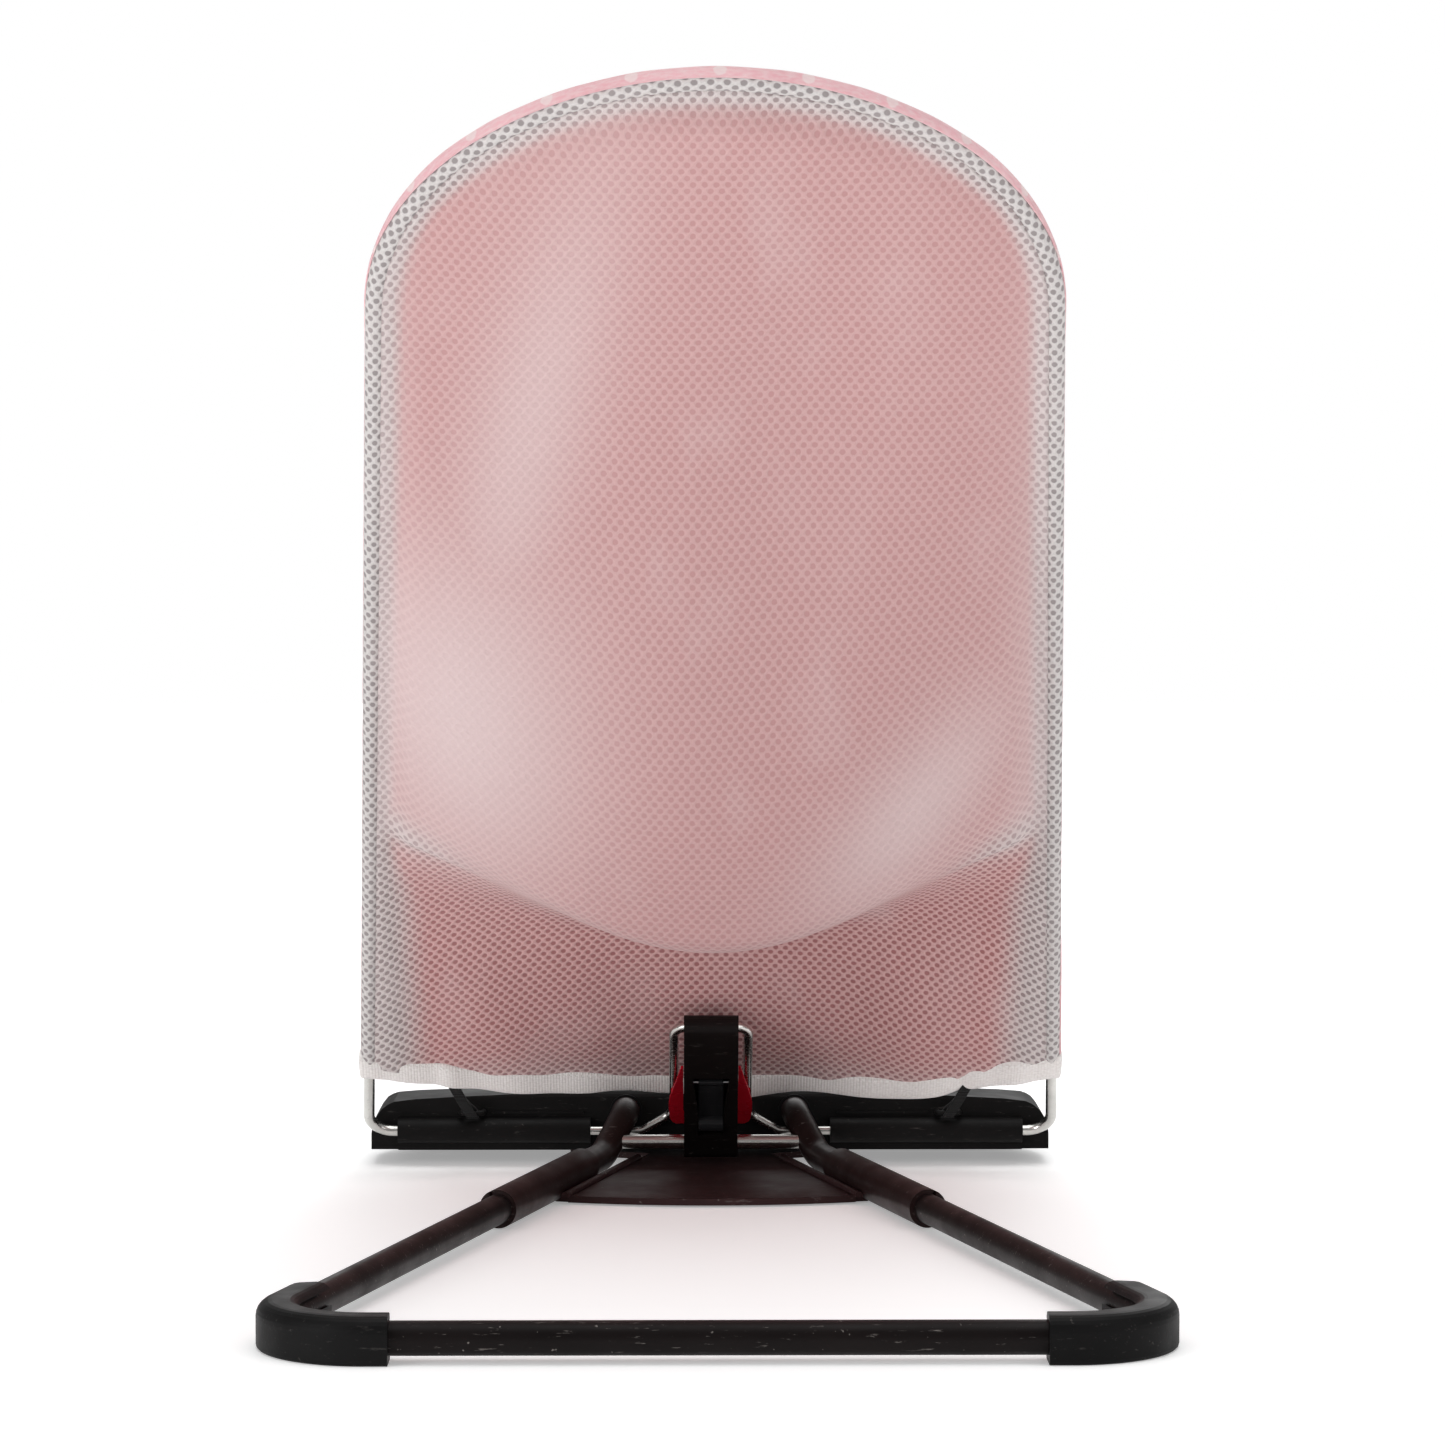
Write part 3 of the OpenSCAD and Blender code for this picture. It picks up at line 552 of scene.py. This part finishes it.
def folds(x, s, u):
    """Soft folds of the cloth, quiet along the rod and at the hem."""
    calm = smooth((1 - np.abs(u)) / 0.25)
    back = smooth((s - 250) / 120) * smooth((720 - s) / 160)
    long_fold = 1.7 * np.sin(x / 31 + s / 210 + 0.7) + 1.1 * np.sin(x / 17 - s / 130)
    slant = 1.3 * np.sin((x + 0.6 * s) / 46) - 1.2 * np.sin((x - 0.55 * s) / 52 + 1)
    ridge = 3.0 * bell(x + 22, 46) * smooth((640 - s) / 260)
    out = calm * back * (long_fold + slant + ridge)
    # a pulled crease that runs in from each side at the pouch's lower edge
    for side in (-1, 1):
        reach = smooth((side * u - 0.55) / 0.3) * smooth((1 - side * u) / 0.06)
        line = seam_s(u) - 14
        out = out + reach * (3.6 * bell(s - line, 6) - 2.6 * bell(s - line + 15, 8))
        # gathers above the elastic straps
        from_strap = x - side * STRAP_X
        near = bell(from_strap, 15) * bell(s - 42, 30)
        out = out + 0.9 * near * np.sin(from_strap / 4.2)
    low = smooth((170 - s) / 60) * calm
    return out + low * (0.9 * np.sin(x / 19 + 1) + 0.6 * np.sin(x / 9 + s / 40))


def leaf(inset, hem_lift, rows, cols):
    """A grid over the right half of the seat, from its middle line out to the rod."""
    x_b, s_b, out_x, out_s, _ = rod_line(hem_s(1.0) + hem_lift, rows + 1)
    x_b = np.maximum(x_b - inset * out_x, 0)
    x_b[-1] = 0
    s_b = s_b - inset * out_s
    q = (s_b - s_b[0]) / (s_b[-1] - s_b[0])
    middle = hem_s(0.0) + hem_lift + q * (LEAF_CENTRE_S - hem_s(0.0) - hem_lift)
    w = np.linspace(0, 1, cols + 1)
    w = 1 - (1 - w) ** 1.15
    power = 1.6 + 0.9 * (1 - smooth(q * 5))
    x = x_b[:, None] * w[None, :]
    s = middle[:, None] + (s_b - middle)[:, None] * w[None, :] ** power[:, None]
    return x, s


def arc_along(s):
    """Length of cloth along the middle line, so that the pattern isn't stretched on the pouch."""
    line = np.linspace(0, 740, 1481)
    depth = sag(np.zeros_like(line), line)
    length = np.r_[0, np.cumsum(np.hypot(np.diff(line), np.diff(depth)))]
    return np.interp(s, line, length)


def new_object(name, points, faces, material, attributes=()):
    data = bpy.data.meshes.new(name)
    data.from_pydata([tuple(p) for p in points], [], [tuple(f) for f in faces])
    for key, values in dict(attributes).items():
        kind = "FLOAT_VECTOR" if np.ndim(values) == 2 else "FLOAT"
        field = data.attributes.new(key, kind, "POINT").data
        part = "vector" if kind == "FLOAT_VECTOR" else "value"
        field.foreach_set(part, np.ravel(values).astype(np.float32))
    data.materials.append(material)
    made = bpy.data.objects.new(name, data)
    bpy.context.scene.collection.objects.link(made)
    for polygon in data.polygons:
        polygon.use_smooth = True
    return made


def rounded(levels):
    return "SUBSURF", {"levels": levels, "render_levels": levels}


def thick(size, offset=0.0):
    return "SOLIDIFY", {"thickness": size * MM, "offset": offset}


def settle(piece, *modifiers):
    """Adds modifiers and turns the result into the piece's own mesh."""
    for kind, props in modifiers:
        made = piece.modifiers.new(kind.lower(), kind)
        for key, value in props.items():
            setattr(made, key, value)
    deps = bpy.context.evaluated_depsgraph_get()
    data = bpy.data.meshes.new_from_object(piece.evaluated_get(deps))
    piece.modifiers.clear()
    piece.data = data
    for polygon in data.polygons:
        polygon.use_smooth = True
    return piece


FINE_WELD = 1e-7


def weld(piece, distance=0.02 * MM):
    """Joins points that lie closer than the distance and turns all faces outwards."""
    bm = bmesh.new()
    bm.from_mesh(piece.data)
    bmesh.ops.remove_doubles(bm, verts=bm.verts, dist=distance)
    bmesh.ops.recalc_face_normals(bm, faces=bm.faces)
    bm.to_mesh(piece.data)
    bm.free()


def grid_faces(rows, cols, start=0, flipped=False, closed=False):
    faces = []
    for j in range(rows - 1):
        for i in range(cols if closed else cols - 1):
            a = start + j * cols + i
            b = start + j * cols + (i + 1) % cols
            quad = (a, b, b + cols, a + cols)
            faces.append(quad[::-1] if flipped else quad)
    return faces


def tube_faces(rings, around):
    """Faces of a tube of rings of points, with its two ends closed."""
    last = (rings - 1) * around
    ends = [tuple(range(around))[::-1], tuple(range(last, last + around))]
    return grid_faces(rings, around, closed=True) + ends


def xyz(grids):
    """One list of points from grids of points."""
    return np.concatenate([g.reshape(-1, 3) for g in grids])


def seat_sheet(name, offset, thickness, material, inset=2.9, rows=150, cols=44):
    """One layer of the seat, offset behind the cloth's middle surface."""
    x, s = leaf(inset, 3.0, rows, cols)
    # the layers part round the rod and come together away from it
    offset = offset * (1 + EDGE_SPREAD / abs(offset) * smooth((14 - rod_gap(x, s)) / 11))
    points = [world_point(k * x, s + drop(k * x, s), sag(k * x, s) + offset) for k in (1, -1)]
    u = share_across(x, s)
    gathered = arc_along(CROWN_TOP) - CROWN_TOP
    along = s + (1 - u * u) * (arc_along(s) - s - gathered)
    flat = [np.stack([k * x * MM, along * MM, 0 * x], -1) for k in (1, -1)]
    # no pink behind the net at the rod, at the hem and in the folds at the pouch's corners
    fade = 9 + 14 * smooth((240 - s) / 60)
    edge = smooth((6 + fade - rod_gap(x, s)) / fade)
    pinkless = np.maximum(smooth((70 - s) / 40) * 0.4, edge * 0.8)
    side_fold = smooth((np.abs(u) - 0.6) / 0.3) * bell(s - seam_s(u) + 16, 17) * 0.7
    tone = np.maximum(pinkless, side_fold)
    # open: 1 below the pouch's lower edge, where the holes are painted darker as shade
    far = smooth((seam_s(u) - 8 - s) / 26)
    rings, around = rows + 1, cols + 1
    made = new_object(
        name,
        xyz(points),
        grid_faces(rings, around) + grid_faces(rings, around, x.size, True),
        material,
        {
            "flat": xyz(flat),
            "tone": np.concatenate([tone.ravel()] * 2),
            "open": np.concatenate([far.ravel()] * 2),
            # sheen: where a pale sheen is painted into the net's colour
            "sheen": np.concatenate([painted_sheen(k * x, s).ravel() for k in (1, -1)]),
        },
    )
    weld(made)
    return settle(made, thick(thickness))


def full_line(from_s, count):
    """The whole rod's centreline, left foot to right foot."""
    x, s, out_x, out_s, run = rod_line(from_s, count)

    def whole(half, sign=1):
        return np.r_[sign * half[:-1], half[::-1]]

    length = np.r_[run[:-1], 2 * run[-1] - run[::-1]]
    return whole(x, -1), whole(s), whole(out_x, -1), whole(out_s), length


def casing(name, span, radius, lift, material, tone):
    """Cloth rolled round the rod. span gives the start and end angle of the wrap at each place:
    0 points outwards in the rod's plane and 90 degrees points behind."""
    x, s, out_x, out_s, run = full_line(CASING_FROM_S, 260)
    low, high = span(x, s)
    around = 22
    share = np.linspace(0, 1, around)
    angle = low[:, None] + (high - low)[:, None] * share[None, :]
    r = radius(s)[:, None] + lift * np.sin(math.pi * share)[None, :]
    ripple = 0.16 * np.sin(run / 5.3)[:, None] * np.sin(angle)
    r = r + ripple
    px = x[:, None] + r * np.cos(angle) * out_x[:, None]
    ps = s[:, None] + r * np.cos(angle) * out_s[:, None]
    pn = r * np.sin(angle)
    flat = np.stack([angle * CASING_R * MM, run[:, None] * MM + 0 * angle, 0 * angle], -1)
    made = new_object(
        name,
        world_point(px, ps, pn).reshape(-1, 3),
        grid_faces(len(x), around),
        material,
        {"flat": flat.reshape(-1, 3), "tone": np.full(px.size, tone), "open": np.zeros(px.size)},
    )
    weld(made, FINE_WELD)
    return settle(made, thick(0.8, -1.0))


def crown_share(s):
    """1 along the crown, 0 from the shoulders down."""
    return smooth((s - 560) / 110)


def lower_right(x, s):
    """1 at the lower end of the rod's right side, where the wrap is turned further."""
    return smooth((x - 100) / 40) * smooth((175 - s) / 60)


def mesh_span(x, s):
    start = -25 + 42 * crown_share(s) + 40 * lower_right(x, s)
    return np.radians(start), np.radians(np.full_like(x, 172.0))


def pink_span(x, s):
    end = -18 + 58 * crown_share(s) + 44 * lower_right(x, s)
    return np.radians(np.full_like(x, -172.0)), np.radians(end)


def mesh_radius(s):
    return np.full_like(s, CASING_R)


def pink_radius(s):
    return CASING_R + 0.5 + 0.7 * crown_share(s)


back = seat_sheet("seat_back_mesh", 1.4, 0.9, mesh_cloth)
front = seat_sheet("seat_front_cotton", -1.8, 1.1, cotton)
# the rolled net takes the rim colours: pale threads over holes painted dark grey as shade
rim_mesh = casing("rim_mesh", mesh_span, mesh_radius, 0.0, mesh_cloth, 0.95)
rim_pink = casing("rim_cotton", pink_span, pink_radius, 0.3, cotton, 0.0)


HEM_OVER_ROD = 5.2
HEM_END = 16
HEM_HALF_DEEP = 3.8
HEM_HALF_TALL = 9.6
HEM_LIFT = 1.6
HEM_CORNER = 0.6


def hem_piece():
    """The doubled binding along the cloth's lower edge, with the rod inside its two ends."""
    count, around = 161, 20
    rod_x = FOOT[0] - 45 * math.tan(LEAN)
    reach = rod_x + HEM_OVER_ROD
    x = np.linspace(-reach, reach, count)
    u = x / (reach - HEM_OVER_ROD)
    s_mid = hem_s(np.clip(u, -1, 1)) + 2.6
    # held up a little where the risers pass below it
    raised = bell(np.abs(x) - RISER_X, 17)
    s_mid = s_mid + drop(x, s_mid) + HEM_LIFT * raised
    end = smooth((np.abs(x) - (reach - HEM_END)) / 10)
    wave = 0.9 * np.sin(x / 13 + 0.4) + 0.5 * np.sin(x / 6.1)
    for _, side in SIDES:
        from_strap = x - side * STRAP_X
        wave = wave + 0.9 * bell(from_strap, 9) * np.cos(from_strap / 3.4)
    n_mid = (sag(np.clip(x, -175, 175), s_mid) - 0.3) * (1 - end)
    deep = HEM_HALF_DEEP + 1.4 * end
    tall = HEM_HALF_TALL + 0.6 * np.sin(x / 21) - 2.0 * raised
    rings, flats = [], []
    for angle in np.linspace(0, math.tau, around, endpoint=False):
        c, d = math.cos(angle), math.sin(angle)
        up = tall * math.copysign(abs(c) ** HEM_CORNER, c) + 0.35 * wave * (1 - end)
        out = deep * math.copysign(abs(d) ** HEM_CORNER, d) + wave * (1 - end)
        rings.append(world_point(x, s_mid + up, n_mid + out))
        flats.append(np.stack([x, up, 0 * x], -1) * MM)
    rings, flats = np.stack(rings, 1), np.stack(flats, 1)
    made = new_object(
        "hem",
        rings.reshape(-1, 3),
        tube_faces(count, around),
        white_binding,
        {"flat": flats.reshape(-1, 3)},
    )
    weld(made, FINE_WELD)
    return settle(made, rounded(1))


hem = hem_piece()

STRAP_HALF = 3.0
STRAP_TOP_S = 42.0
HOOK_X = 131.0
HOOK_LOOP_R = 2.4


def strap_piece(name, side):
    """Woven elastic from the hem down to the beam's hook, looped round the hook and sewn on."""
    low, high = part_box("strap_hooks")
    hook = np.array([side * HOOK_X, low.y / MM + 1.5, (low.z + high.z) / 2 / MM])
    top = world_point(side * STRAP_X, STRAP_TOP_S, -3.0) / MM
    toward = top - hook
    toward /= np.linalg.norm(toward)
    normal = np.cross([1.0, 0, 0], toward)
    beside = hook + normal * HOOK_LOOP_R
    line = [top + toward * 4, top * 0.6 + beside * 0.4, beside + toward * 13, beside + toward * 4]
    for angle in np.linspace(0, math.pi, 9):
        line.append(hook + HOOK_LOOP_R * (normal * math.cos(angle) - toward * math.sin(angle)))
    for out, up in ((-0.8, 4), (0.35, 9), (0.4, 14)):
        line.append(hook + normal * HOOK_LOOP_R * out + toward * up)
    line = np.array(line)
    run = np.r_[0, np.cumsum(np.linalg.norm(np.diff(line, axis=0), axis=1))]
    widths = np.linspace(-STRAP_HALF, STRAP_HALF, 5)
    points = line[:, None, :] + widths[None, :, None] * np.array([1, 0, 0])
    flats = [(w * MM, length * MM, 0) for length in run for w in widths]
    faces = grid_faces(len(line), len(widths))
    points = (points * MM).reshape(-1, 3)
    made = new_object(name, points, faces, elastic, {"flat": np.array(flats)})
    return settle(made, rounded(2), thick(1.1))


straps = [strap_piece(f"strap_{word}", side) for word, side in SIDES]

# ---------------------------------------------------------------- restraint

# along the panel, q runs from 0 at the seat's fold to 1 at its upper edge
PANEL_FROM_S = 70
PANEL_LENGTH = 260
PANEL_TUCK = 0.1
PANEL_HALF_LOW = 34
PANEL_FLARE = 96


def panel_half(q):
    """Half the panel's width: a narrow strip that flares out at the top."""
    return PANEL_HALF_LOW + PANEL_FLARE * smooth((q - 0.45) / 0.45)


def panel_depth(u, q):
    """How far the panel stands in front of the seat."""
    reach = 14 + 40 * np.sin(math.pi * np.minimum(1, q * 0.62)) * (1 - 0.72 * u * u)
    return -reach * smooth((q + 0.16) / 0.28)


PAD_FRAMES = 20
PAD_CAP = 4.0
PAD_HELD_S = 105.0
PAD_CLOTH = {
    "quality": 6,
    "mass": 0.2,
    "tension_stiffness": 12,
    "compression_stiffness": 12,
    "bending_stiffness": 0.4,
    "use_pressure": True,
    "uniform_pressure_force": 4.0,
}


def swell(piece, sewn):
    """Fills a closed pad with air for a few frames, so that it crowns and wrinkles between the
    points that are sewn down. No point moves further than the cap."""
    count = len(piece.data.vertices)
    start = np.empty(count * 3)
    piece.data.vertices.foreach_get("co", start)
    group = piece.vertex_groups.new(name="sewn")
    group.add([int(i) for i in sewn], 1.0, "REPLACE")
    cloth = piece.modifiers.new("pad", "CLOTH")
    for key, value in PAD_CLOTH.items():
        setattr(cloth.settings, key, value)
    cloth.settings.vertex_group_mass = "sewn"
    cloth.settings.effector_weights.gravity = 0
    cloth.collision_settings.use_collision = False
    cloth.point_cache.frame_end = PAD_FRAMES
    for step in range(1, PAD_FRAMES + 1):
        bpy.context.scene.frame_set(step)
    deps = bpy.context.evaluated_depsgraph_get()
    end = np.empty(count * 3)
    piece.evaluated_get(deps).data.vertices.foreach_get("co", end)
    piece.modifiers.clear()
    piece.vertex_groups.clear()
    bpy.context.scene.frame_set(1)
    moved = (end - start).reshape(-1, 3)
    length = np.linalg.norm(moved, axis=1, keepdims=True)
    moved *= np.minimum(1, PAD_CAP * MM / np.maximum(length, 1e-9))
    piece.data.vertices.foreach_set("co", start + moved.ravel())
    piece.data.update()


def close_rim(piece, rim, half):
    """Closes the gap between a sheet and its copy with a strip of faces along the rim."""
    bm = bmesh.new()
    bm.from_mesh(piece.data)
    bm.verts.ensure_lookup_table()
    for a, b in zip(rim, rim[1:] + rim[:1]):
        bm.faces.new([bm.verts[v] for v in (a, b, b + half, a + half)])
    bmesh.ops.recalc_face_normals(bm, faces=bm.faces)
    bm.to_mesh(piece.data)
    bm.free()


def restraint():
    """A padded panel, drawn in at its sewn edge, that comes up between the legs."""
    rows, cols = 60, 44
    q = np.linspace(-PANEL_TUCK, 1, rows)[:, None] + np.zeros(cols)
    u = np.linspace(-1, 1, cols)[None, :] + np.zeros((rows, 1))
    edge = np.minimum(1 - np.abs(u), np.minimum((q + PANEL_TUCK) * 3, (1 - q) * 4))
    plump = 3.4 * smooth(edge / 0.3) + 0.7
    round_top = 12 * smooth((np.abs(u) - 0.55) / 0.45) * smooth((q - 0.8) / 0.2)
    x = u * panel_half(q)
    s = PANEL_FROM_S + PANEL_LENGTH * q - round_top
    mid = panel_depth(u, q) - 1.5 + np.minimum(sag(x, s), 0)
    quilt = 0.5 * np.sin(x / 9) * np.sin(s / 11)
    sides = [world_point(x, s, mid - plump - quilt), world_point(x, s, mid + plump)]
    flat = np.stack([x, s, 0 * x], -1) * MM
    half = rows * cols
    made = new_object(
        "restraint",
        xyz(sides),
        grid_faces(rows, cols) + grid_faces(rows, cols, half, True),
        cotton,
        {"flat": xyz([flat] * 2)},
    )
    place = np.arange(half).reshape(rows, cols)
    rim = np.r_[place[0], place[1:, -1], place[-1, -2::-1], place[-2:0:-1, 0]].tolist()
    close_rim(made, rim, half)
    held = (edge.ravel() < 0.02) | (s.ravel() < PAD_HELD_S)
    swell(made, np.flatnonzero(np.r_[held, held]))
    return settle(made, rounded(1))


panel = restraint()


def lathe(name, centre, axis, profile, material, around=36):
    """A turned piece: profile is [radius, height] in millimetres along the axis."""
    axis = Vector(axis).normalized()
    side = axis.orthogonal().normalized()
    other = axis.cross(side)
    points = []
    for radius, height in profile:
        for k in range(around):
            a = math.tau * k / around
            spoke = side * math.cos(a) + other * math.sin(a)
            points.append(Vector(centre) + (spoke * radius + axis * height) * MM)
    made = new_object(name, points, tube_faces(len(profile), around), material)
    weld(made, FINE_WELD)
    return made


BUTTON_R = 8
BUTTON_OUT = 9.2
BUTTON = [
    # a rounded rim, a dished face and a raised middle
    *[(7.4, 0), (BUTTON_R, 0.5), (BUTTON_R, 1.6), (7.3, 2.5), (5.4, 3.0)],
    *[(5.0, 2.6), (3.2, 2.4), (2.8, 2.9), (1.2, 3.1), (0.3, 3.1)],
]

front_axis = Vector(-BEHIND)
low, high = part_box("restraint_buttons")
buttons = []
for word, x in (("left", low.x + BUTTON_R * MM), ("right", high.x - BUTTON_R * MM)):
    at = Vector((x, (low.y + high.y) / 2, (low.z + high.z) / 2)) + front_axis * (BUTTON_OUT * MM)
    buttons.append(lathe(f"button_{word}", at, front_axis, BUTTON, finishes["white_plastic"]))

TAB_S = 318
TAB_HALF = 12.0
TAB_TIP_HALF = 8.0


def tab_piece(name, side):
    """A sewn tab from the rim of the seat to the restraint's button."""
    rim_x = float(rod_half(TAB_S)) - 1.0
    # [across, behind] from the rim to the button
    at_rim = [(rim_x, -5.2), (rim_x - 10, -6.2)]
    stations = at_rim + [(150, -12), (134, -22), (118, -31.5), (106, -35.5)]
    rows, cols = len(stations), 7
    points, flats = [], []
    for k, (x, n) in enumerate(stations):
        half = TAB_HALF if k < rows - 1 else TAB_TIP_HALF
        for w in (-1 + 2 * i / (cols - 1) for i in range(cols)):
            s = TAB_S + w * half
            points.append(world_point(side * x, s, n + 0.8 * w * w))
            flats.append((side * x * MM, s * MM, 0))
    made = new_object(name, points, grid_faces(rows, cols), cotton, {"flat": np.array(flats)})
    return settle(made, rounded(2), thick(1.8))


tabs = [tab_piece(f"tab_{word}", side) for word, side in SIDES]

# ---------------------------------------------------------------- what rides on what

for piece, slot in (
    (back, "mesh_fabric"),
    (front, "pink_fabric"),
    (rim_mesh, "mesh_fabric"),
    (rim_pink, "pink_fabric"),
    (hem, "white_binding"),
    (panel, "pink_fabric"),
    *((b, "white_plastic") for b in buttons),
    *((t, "pink_fabric") for t in tabs),
):
    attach(piece, "seat")
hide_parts("back_cover")
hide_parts("front_cover")
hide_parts("rim_piping")
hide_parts("hem_binding")
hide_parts("restraint_panel")
for piece in buttons:
    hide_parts("restraint_buttons")
for piece in (back, front):
    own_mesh(piece)
for piece, node in zip(straps, ("elastic_strap_left", "elastic_strap_right")):
    low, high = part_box(node)
    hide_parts(node)
    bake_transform(piece)


# ---------------------------------------------------------------- floor

FLOOR_HALF = 6
FLOOR_TONE = (0.93, 0.93, 0.93)
# the floor's own light grows with the distance from the middle, so that its far edge is white
GLOW_FROM_TO = (0.4, 2.4)
GLOW = (0.3, 1.0)

corners = [(x * FLOOR_HALF, y * FLOOR_HALF, 0) for x, y in ((-1, -1), (1, -1), (1, 1), (-1, 1))]
floor_mesh = bpy.data.meshes.new("floor")
floor_mesh.from_pydata(corners, [], [(0, 1, 2, 3)])
floor = bpy.data.objects.new("floor", floor_mesh)
bpy.context.scene.collection.objects.link(floor)
floor_finish = Graph("floor", FLOOR_TONE, 0.9, Specular_IOR_Level=0.1)
place = floor_finish.object_coords()
distance = floor_finish.node("ShaderNodeVectorMath", {0: place}, operation="LENGTH")
glow = floor_finish.spread(distance.outputs["Value"], *GLOW_FROM_TO, *GLOW)
floor_finish.shader.inputs["Emission Color"].default_value = (1, 1, 1, 1)
floor_finish.put(floor_finish.shader.inputs["Emission Strength"], glow)
floor_mesh.materials.append(floor_finish.material)
